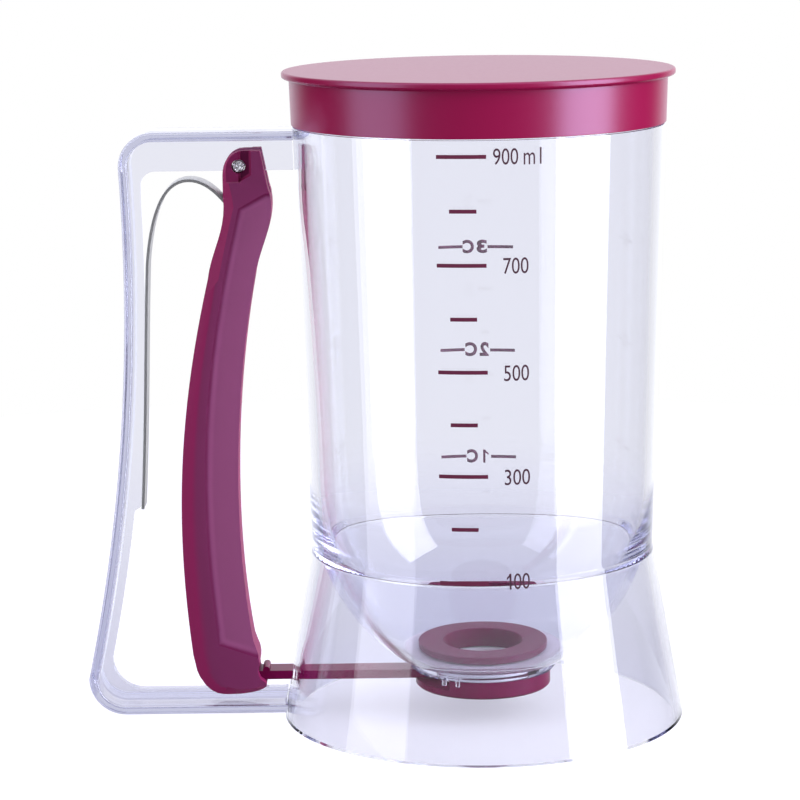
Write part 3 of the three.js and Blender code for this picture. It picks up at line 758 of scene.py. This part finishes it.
def makeLever():
    v = lever
    half, edge = v["width"] / 2, v["width"] / 2 - v["slope"]
    outline, ridge = leverOutline()
    piece = slabPiece("leverBody", fromPin(outline), 2 * edge)
    editAll(piece)
    for side in (-1, 1):  # each flank rises from its edges to a crest beside the panel
        pickParts(piece, "FACE", lambda face: face.normal.y * side > 0.9)
        pushOut(0, side * v["slope"], 0)
        for (x, z), (rx, rz) in zip(fromPin(outline), fromPin(ridge)):
            if (x, z) != (rx, rz):
                corner = spot(x, z, side * half)
                pickParts(piece, "VERT", lambda vertex: (vertex.co - corner).length < 0.01 * mm)
                bpy.ops.transform.translate(value=((rx - x) * mm, 0, (rz - z) * mm))
    settle(piece)
    roundEdges(piece, *v["rounding"])
    cavityFront = [(x - v["wall"], z) for x, z in leverFront() if z < v["cavityTop"]][:-1]
    inside, top, foot, past = v["toeInside"], v["cavityTop"], v["cavityFoot"], v["past"]
    cavity = slabPiece("cavity", fromPin([
        (v["shoulder"][0] - v["wall"], top), *cavityFront, (inside, v["nose"][-2][1]), (inside, foot),
        (-past, foot), (-past, top),
    ]), 2 * (half - v["side"] - v["slope"]))
    fork = slabPiece("fork", fromPin([(-past, top - 1), (past, top - 1), (past, v["headPast"]),
                                      (-past, v["headPast"])]), 2 * v["forkHalf"])
    face = v["pin"][0] + inside
    slot = blockPiece("slot", (face - 1, face + 8), (-v["rodHalf"], v["rodHalf"]), v["rodSlot"])
    hole = barPiece("hole", *v["pin"], v["pinHole"], v["width"] + 2)
    cutters = [cavity, fork, slot, hole]
    end = v["panelEnd"]
    panel = fromPin([*bendLine(v["panelTop"], end, v["panelShares"], 28),
                     (past, end[1] - (past - end[0]) * v["panelSlope"]), (past, v["panelCorner"][1]),
                     v["panelCorner"]])
    cheek, pocket = fromPin(v["cheek"]), fromPin(v["pocket"])
    flat, steep, near, slack = 0.995, 0.95, 0.02, 0.05  # the last two in mm

    def slopes(a, b):  # how level the flatter and the steeper of two faces are
        return max(abs(a.y), abs(b.y)), min(abs(a.y), abs(b.y))

    def cutterRim(middle, a, b):
        most, least = slopes(a, b)
        return most > 0.9 and least < 0.1

    for shape, key, fillet in ((panel, "panelDepth", "panelFillet"), (cheek, "cheekDepth", "cheekRound"),
                               (pocket, "pocketDepth", "pocketRound")):
        for side in (-1, 1):
            cutter = slabPiece("sunk", shape, v["sunk"])
            roundWhere(cutter, v[fillet], 8, cutterRim)
            pickOnly(cutter)
            bpy.ops.transform.translate(value=(0, side * (half - v[key] + v["sunk"] / 2) * mm, 0))
            applyPlace()
            cutters.append(cutter)
    combine(piece, cutters, "DIFFERENCE")
    floor = half - v["panelDepth"]

    def panelFront(middle, a, b):  # where the panel's floor runs out over the rounded front
        most, least = slopes(a, b)
        return abs(abs(middle.y) - floor) < near and most > flat and least < steep and a.dot(b) < 0.97

    def crest(middle, a, b):  # where a hollow's side meets the lever's flank
        most, least = slopes(a, b)
        level = min(abs(abs(middle.y) - half), abs(abs(middle.y) - half + v["cheekDepth"])) < near
        return level and most > flat and least < 0.85 and a.dot(b) < 0.9

    roundWhere(piece, v["panelEdge"], 4, panelFront)
    roundWhere(piece, v["crestEdge"], 3, crest)
    finishPiece(piece, leverMaterials[0], "trigger", ["trigger"], 35)
    for material in leverMaterials[1:]:
        piece.data.materials.append(material)
    hollows = [(1, panel, floor), (2, cheek, half - v["cheekDepth"]), (3, pocket, half - v["pocketDepth"])]
    for face in piece.data.polygons:  # each hollow gets its own painted sheen and shade, and the cheek only on its floor and rim
        x, y, z = [c / mm for c in face.center]
        for index, shape, level in hollows:
            if abs(face.normal.y) > 0.3 and level - slack < abs(y) < half - 0.04 and within(shape, x - axisX, z):
                if index != 2 or abs(y) < level + slack or abs(face.normal.y) < steep:
                    face.material_index = index


makeLever()
print("lever made")


# Pin, gate, seat and cap

pin = {"radius": 1.6, "width": 12.4, "rounding": (0.35, 3, 50), "dentRise": 0.55,
       "dents": [(-0.75, 0.5, 0.75), (0.35, 0.85, 0.6), (0.1, -0.15, 0.7), (0.9, -0.35, 0.55),
                 (-0.45, -0.85, 0.65)]}  # across, up, radius
gate = {"radius": 12.9, "low": 10.6, "high": 13.1, "rodHalf": 3.75, "rodEnd": -68.3, "ridges": (-62.1, -67.3),
        "ridge": 1.0, "ridgeFoot": 0.5, "ridgeTop": 14.35, "rounding": (0.2, 2, 50)}
seat = {"bore": 11.3, "spigot": 13.0, "spigotLow": 15.0, "rim": 18.6, "low": 18.7, "high": 20.7,
        "rounding": (0.35, 3, 50)}
cap = {"hole": 12.4, "radius": 19.3, "inside": 17.9, "low": 8.1, "floor": 10.3, "high": 13.1, "chamfer": 0.6,
       "window": 59, "toothAngles": (0, 80, -80), "tooth": (16.5, 18.6, 2.9, 12.2, 13.1), "rounding": (0.25, 2, 40)}
valveSteps = 96  # round plate, collar and cap


def makePin():
    piece = barPiece("leverPin", *lever["pin"], pin["radius"], pin["width"], 40)
    roundEdges(piece, *pin["rounding"])
    for side in (-1, 1):
        for x, z, size in pin["dents"]:  # its ends are peened over
            rise = side * (pin["width"] / 2 + pin["dentRise"] * size)
            pickNone()
            bpy.ops.mesh.primitive_uv_sphere_add(segments=20, ring_count=10, radius=size * mm,
                                                 location=spot(lever["pin"][0] + x, lever["pin"][1] + z, rise))
            applyPlace()
            combine(piece, [bpy.context.object], "DIFFERENCE")
    finishPiece(piece, pinSteel, "root", ["pivot_pin"], 40)


def makeGate():
    g = gate
    piece = turnPiece("gatePlate", [(0, g["low"]), (g["radius"], g["low"]), (g["radius"], g["high"]),
                                    (0, g["high"])], valveSteps)
    rod = blockPiece("rod", (g["rodEnd"], 0), (-g["rodHalf"], g["rodHalf"]), (g["low"], g["high"]))
    ridges = []
    for x in g["ridges"]:
        ridges.append(blockPiece("ridge", (x - g["ridge"], x + g["ridge"]), (-g["rodHalf"], g["rodHalf"]),
                                 (g["low"] + g["ridgeFoot"], g["ridgeTop"] - g["ridge"])))
        ridges.append(barPiece("ridge", x, g["ridgeTop"] - g["ridge"], g["ridge"], 2 * g["rodHalf"]))
    combine(piece, [rod, *ridges], "UNION")
    roundEdges(piece, *g["rounding"])
    finishPiece(piece, shadedValveMagenta, "gate_slide", ["gate_slide"], 40)


def makeSeat():
    s = seat
    piece = turnPiece("seatCollar", [
        (s["bore"], s["spigotLow"]), (s["spigot"], s["spigotLow"]), (s["spigot"], s["low"]), (s["rim"], s["low"]),
        (s["rim"], s["high"]), (s["bore"], s["high"]),
    ], valveSteps)
    roundEdges(piece, *s["rounding"])
    finishPiece(piece, shadedValveMagenta, "root", ["seat_ring"], 40)


def makeCap():
    c = cap
    piece = turnPiece("valveCapShell", [
        (c["hole"], c["low"]), (c["radius"] - c["chamfer"], c["low"]), (c["radius"], c["low"] + c["chamfer"]),
        (c["radius"], c["high"]), (c["inside"], c["high"]), (c["inside"], c["floor"]), (c["hole"], c["floor"]),
    ], valveSteps)
    arc = arcLine((0, 0), c["radius"] + 1, 180 - c["window"], 180 + c["window"], 24)
    combine(piece, [platePiece("window", [(0, 0), *arc], c["floor"], c["high"] + 1)], "DIFFERENCE")
    roundEdges(piece, *c["rounding"])
    combine(piece, blocksRound("tooth", c["tooth"], c["toothAngles"]), "UNION")
    finishPiece(piece, shadedValveMagenta, "valve_cap", ["valve_cap"], 40)


makePin()
makeGate()
makeSeat()
makeCap()
paint(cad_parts["gate_seal"], silicone)
print("valve made")


# Printed scale: place and width across, height above the ground

marks = {
    "bars": [(-6.0, 13.1, 164.3), (-5.7, 7.2, 149.9), (-6.1, 13.1, 135.5), (-5.7, 7.1, 121.1), (-6.0, 13.1, 106.8),
             (-5.8, 7.2, 92.5), (-6.1, 13.1, 78.4), (-5.8, 7.2, 63.8), (-6.1, 13.1, 48.9)],
    "numbers": [("900", 5.65, 6.6, 164.3, 4.3), ("m", 11.9, 3.0, 163.6, 3.1), ("l", 14.9, 0.45, 164.3, 4.4),
                ("700", 8.2, 6.7, 135.35, 4.3), ("500", 8.2, 6.7, 106.5, 4.3), ("300", 8.3, 6.8, 78.1, 4.3),
                ("00", 9.35, 4.3, 49.3, 4.3)],
    "ones": [(5.9, 1.25, 49.3, 4.3)], "cupOnes": [(2.75, 1.7, 64.8, 4.0)],
    "cupBars": [(-7.6, 7.5, 127.9), (7.75, 7.8, 127.8), (-7.3, 7.5, 97.1), (8.15, 7.6, 96.9), (-7.2, 7.8, 64.9),
                (8.2, 7.7, 64.7)],
    "cupWords": [("C", -2.1, 3.5, 127.9, 4.0), ("3", 2.1, 3.2, 127.9, 4.0), ("C", -1.5, 3.7, 97.2, 4.2),
                 ("2", 2.5, 2.8, 97.2, 4.2), ("C", -1.4, 3.4, 64.9, 4.1)],
    "barHeight": 1.05, "cupBarHeight": 0.9, "lift": 0.04, "ink": 0.05, "stroke": 0.0, "boldStroke": 0.045,
    "oneShape": [(1.0, 0.0), (1.0, 1.0), (0.62, 1.0), (0.34, 0.84), (0.0, 0.74), (0.0, 0.6), (0.3, 0.67),
                 (0.58, 0.78), (0.58, 0.0)],
    "away": 70,  # flat marks stand this far from the axis before they are laid on the wall
}


def flatBar(x, width, z, height):
    pickNone()
    bpy.ops.mesh.primitive_grid_add(x_subdivisions=20, y_subdivisions=1, size=mm, rotation=(math.pi / 2, 0, 0))
    bpy.ops.transform.resize(value=(width, 1, height))
    bpy.ops.transform.translate(value=spot(x, z))
    applyPlace()
    return bpy.context.object


def flatWord(word, x, width, z, height, stroke, side):
    # text made a mesh, then fitted to its place; side is -1 for the front and 1 for the rear
    pickNone()
    bpy.ops.object.text_add(rotation=(math.pi / 2, 0, math.pi if side > 0 else 0))
    letters = bpy.context.object.data
    letters.body, letters.offset, letters.resolution_u = word, stroke, 6
    bpy.ops.object.convert(target="MESH")
    applyPlace()
    piece = bpy.context.object
    xs, zs = [v.co.x for v in piece.data.vertices], [v.co.z for v in piece.data.vertices]
    editAll(piece)
    bpy.ops.transform.translate(value=(-(min(xs) + max(xs)) / 2, 0, -(min(zs) + max(zs)) / 2))
    bpy.ops.transform.resize(value=(width * mm / (max(xs) - min(xs)), 1, height * mm / (max(zs) - min(zs))),
                             center_override=(0, 0, 0))
    bpy.ops.transform.translate(value=spot(x, z))
    leaveEdit()
    return piece


def flatOne(x, width, z, height, side):
    # a one with a flag, which the built-in letters lack
    piece = traceOutline("one", [spot(x - side * (u - 0.5) * width, z + (v - 0.5) * height)
                                 for u, v in marks["oneShape"]])
    leaveEdit()
    return piece


def wrapPrint(name, flats, side, material):
    # joins flat marks, lays them on the wall and gives the ink its thickness
    pickNone()
    for flat in flats:
        flat.select_set(True)
    piece = flats[0]
    bpy.context.view_layer.objects.active = piece
    bpy.ops.object.join()
    piece.name = name
    pickOnly(piece)
    bpy.ops.transform.translate(value=(0, side * marks["away"] * mm, 0))
    applyPlace()
    lift, waist, shoulder = marks["lift"], skirt["waist"], jar["shoulder"]
    wall = turnPiece("printWall", [(skirt["foot"] + lift, 0), (waist[0] + lift, waist[1]),
                                   (shoulder[0] + lift, shoulder[1]), (0, shoulder[1])], 288)
    applyStep(piece, "SHRINKWRAP", wrap_method="PROJECT", target=wall, use_project_y=True,
              use_positive_direction=side < 0, use_negative_direction=side > 0)
    applyStep(piece, "SOLIDIFY", thickness=marks["ink"] * mm, offset=1.0)
    pickOnly(wall)
    bpy.ops.object.delete()
    editAll(piece)
    settle(piece, fineMerge)
    paint(piece, material)
    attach(piece, "root")


def makePrint():
    m = marks
    wrapPrint("scaleBars", [flatBar(x, w, z, m["barHeight"]) for x, w, z in m["bars"]], -1, ink)
    numbers = [flatWord(*word, m["stroke"], -1) for word in m["numbers"]]
    wrapPrint("scaleNumbers", numbers + [flatOne(*one, -1) for one in m["ones"]], -1, numberInk)
    cups = [flatBar(x, w, z, m["cupBarHeight"]) for x, w, z in m["cupBars"]]
    for bar in cups:  # turned to face the rear
        editAll(bar)
        bpy.ops.mesh.flip_normals()
        leaveEdit()
    words = [flatWord(*word, m["boldStroke"], 1) for word in m["cupWords"]]
    wrapPrint("cupMarks", cups + words + [flatOne(*one, 1) for one in m["cupOnes"]], 1, cupInk)


makePrint()
print("scale printed")


# Stage, camera and lights

stage = {"radius": 0.5, "below": 0.0003, "albedo": 0.35, "glow": 0.9, "glowTint": (0.9, 0.88, 1.0),
         "shadedGlowBehindClear": 0.54, "shadeFade": (0.07, 0.42)}  # its glow seen through the clear walls is dimmer, painted shade round the base, and where that shade fades out
view = {"place": (4.87, -832.74, 242.53), "pitch": 10.338, "roll": -0.787, "lens": 134.77, "clip": (0.01, 20)}
room = {"fill": 0.5, "dark": 0.008, "bright": 1.3, "back": (0.6, 0.95), "above": (0.35, 0.8),
        "tint": (0.92, 0.935, 1.0), "aim": 0.09}
bounces = {"walls": 128, "straight": 64}  # enough for light that runs along inside the clear walls
lamps = [  # azimuth from the camera's side, height, size, distance, strength
    {"name": "softboxLeft", "azimuth": -64.5, "height": 0.25, "size": (0.72, 1.3), "distance": 1.0, "power": 6.6},
    {"name": "softboxRight", "azimuth": 66, "height": 0.25, "size": (0.7, 1.3), "distance": 1.0, "power": 18.0},
    {"name": "topLight", "azimuth": 0, "height": 1.4, "size": (1.2, 1.2), "distance": 0.25, "power": 0.5},
]


def highest(tree, values, x, y):
    # the largest of some mask outputs
    total = values[0]
    for i, value in enumerate(values[1:]):
        total = mathAt(tree, "MAXIMUM", x + 150 * i, y, total, value)
    return total


def seenBy(tree, ray, x, y):
    # a mask for what the camera sees, also through the clear walls
    return highest(tree, [ray.outputs["Is Camera Ray"], ray.outputs["Is Transmission Ray"]], x, y)


def makeFloor():
    pickNone()
    bpy.ops.mesh.primitive_circle_add(vertices=96, radius=stage["radius"], fill_type="NGON",
                                      location=(0, 0, -stage["below"]))
    floor = newest("floor")
    material, tree, shader, out = newMaterial("paleFloor")
    tree.nodes.remove(shader)
    link = tree.links.new
    matt = nodeAt(tree, "ShaderNodeBsdfDiffuse", -500, -50, Color=(*[stage["albedo"]] * 3, 1))
    white = nodeAt(tree, "ShaderNodeEmission", -500, -200, Color=(*stage["glowTint"], 1))
    lit = nodeAt(tree, "ShaderNodeAddShader", -300, -100)
    join(matt, "BSDF", lit, 0)
    join(white, "Emission", lit, 1)
    ray = nodeAt(tree, "ShaderNodeLightPath", -900, 300)
    crossing = ray.outputs["Is Transmission Ray"]
    # through the clear walls the floor glows less near the base and more further out: painted shade, lavender from
    # the glow's tint
    dim = nodeAt(tree, "ShaderNodeMapRange", -700, -200)
    setInputs(dim, {"To Min": stage["glow"], "To Max": stage["shadedGlowBehindClear"]})
    link(crossing, dim.inputs["Value"])
    join(dim, "Result", white, "Strength")
    seen = mixAt(tree, -100, 0, seenBy(tree, ray, -650, 300), matt.outputs["BSDF"], lit.outputs["Shader"])
    # a mirrored ray sees the room below, as on a lit table, and a ray through a wall counts as glossy too
    mirrored = mathAt(tree, "SUBTRACT", -650, 500, ray.outputs["Is Glossy Ray"], crossing)
    coords = nodeAt(tree, "ShaderNodeTexCoord", -1300, 700)
    away = nodeAt(tree, "ShaderNodeVectorMath", -1100, 700)
    away.operation = "LENGTH"
    shadeFade = nodeAt(tree, "ShaderNodeMapRange", -900, 700)
    setInputs(shadeFade, {"From Min": stage["shadeFade"][0], "From Max": stage["shadeFade"][1]})
    join(coords, "Object", away, 0)
    join(away, "Value", shadeFade, "Value")
    faded = mathAt(tree, "MULTIPLY", -650, 700, shadeFade.outputs["Result"], crossing)
    gone = highest(tree, [mirrored, faded], -450, 600)
    through = nodeAt(tree, "ShaderNodeBsdfTransparent", -100, -200)
    link(mixAt(tree, 100, 0, gone, seen, through.outputs["BSDF"]), out.inputs["Surface"])
    floor.data.materials.append(material)


def makeWorld():
    world = bpy.data.worlds.new("studio")
    bpy.context.scene.world = world
    world.use_nodes = True
    tree = world.node_tree
    tree.nodes.remove(tree.nodes["Background"])
    link = tree.links.new
    coords = nodeAt(tree, "ShaderNodeTexCoord", -1000, 0)
    split = nodeAt(tree, "ShaderNodeSeparateXYZ", -800, 0)
    join(coords, "Generated", split, "Vector")
    ramps = []
    for axis, key in (("Y", "back"), ("Z", "above")):
        ramp = nodeAt(tree, "ShaderNodeMapRange", -600, 0 if axis == "Y" else -300)
        ramp.interpolation_type = "SMOOTHSTEP"
        setInputs(ramp, {"From Min": room[key][0], "From Max": room[key][1], "To Min": room["dark"],
                         "To Max": room["bright"]})
        link(split.outputs[axis], ramp.inputs["Value"])
        ramps.append(ramp.outputs["Result"])
    ray = nodeAt(tree, "ShaderNodeLightPath", -1000, 400)
    mirrored = nodeAt(tree, "ShaderNodeBackground", -300, 0, Color=(*room["tint"], 1))
    filled = nodeAt(tree, "ShaderNodeBackground", -300, 150, Color=(*room["tint"], 1), Strength=room["fill"])
    plain = nodeAt(tree, "ShaderNodeBackground", -300, 300, Color=(1, 1, 1, 1), Strength=1.0)
    link(highest(tree, ramps, -450, -150), mirrored.inputs["Strength"])
    soft = mixAt(tree, -100, 100, ray.outputs["Is Diffuse Ray"], mirrored.outputs[0], filled.outputs[0])
    whole = mixAt(tree, 100, 200, seenBy(tree, ray, -650, 400), soft, plain.outputs[0])
    link(whole, tree.nodes["World Output"].inputs["Surface"])


def makeLamps():
    for lamp in lamps:
        angle = math.radians(lamp["azimuth"])
        where = Vector((axisX * mm + math.sin(angle) * lamp["distance"], -math.cos(angle) * lamp["distance"],
                        lamp["height"]))
        bpy.ops.object.light_add(type="AREA", location=where)
        light = newest(lamp["name"])
        light.data.shape = "RECTANGLE"
        light.data.size, light.data.size_y = lamp["size"]
        light.data.energy = lamp["power"]
        light.data.color = room["tint"]
        light.rotation_euler = (Vector((axisX * mm, 0, room["aim"])) - where).to_track_quat("-Z", "Y").to_euler()


def makeCamera():
    bpy.ops.object.camera_add(location=[v * mm for v in view["place"]])
    camera = newest("photoCamera")
    camera.rotation_mode = "ZYX"
    camera.rotation_euler = (math.radians(90 - view["pitch"]), 0, math.radians(view["roll"]))
    camera.data.lens = view["lens"]
    camera.data.clip_start, camera.data.clip_end = view["clip"]
    bpy.context.scene.camera = camera


def setLightPaths():
    paths = bpy.context.scene.cycles
    paths.max_bounces = paths.glossy_bounces = paths.transmission_bounces = bounces["walls"]
    paths.transparent_max_bounces = bounces["straight"]


setLightPaths()
makeFloor()
makeWorld()
makeLamps()
makeCamera()
bpy.context.scene.view_settings.view_transform = "Standard"
print("stage, lamps and camera set")
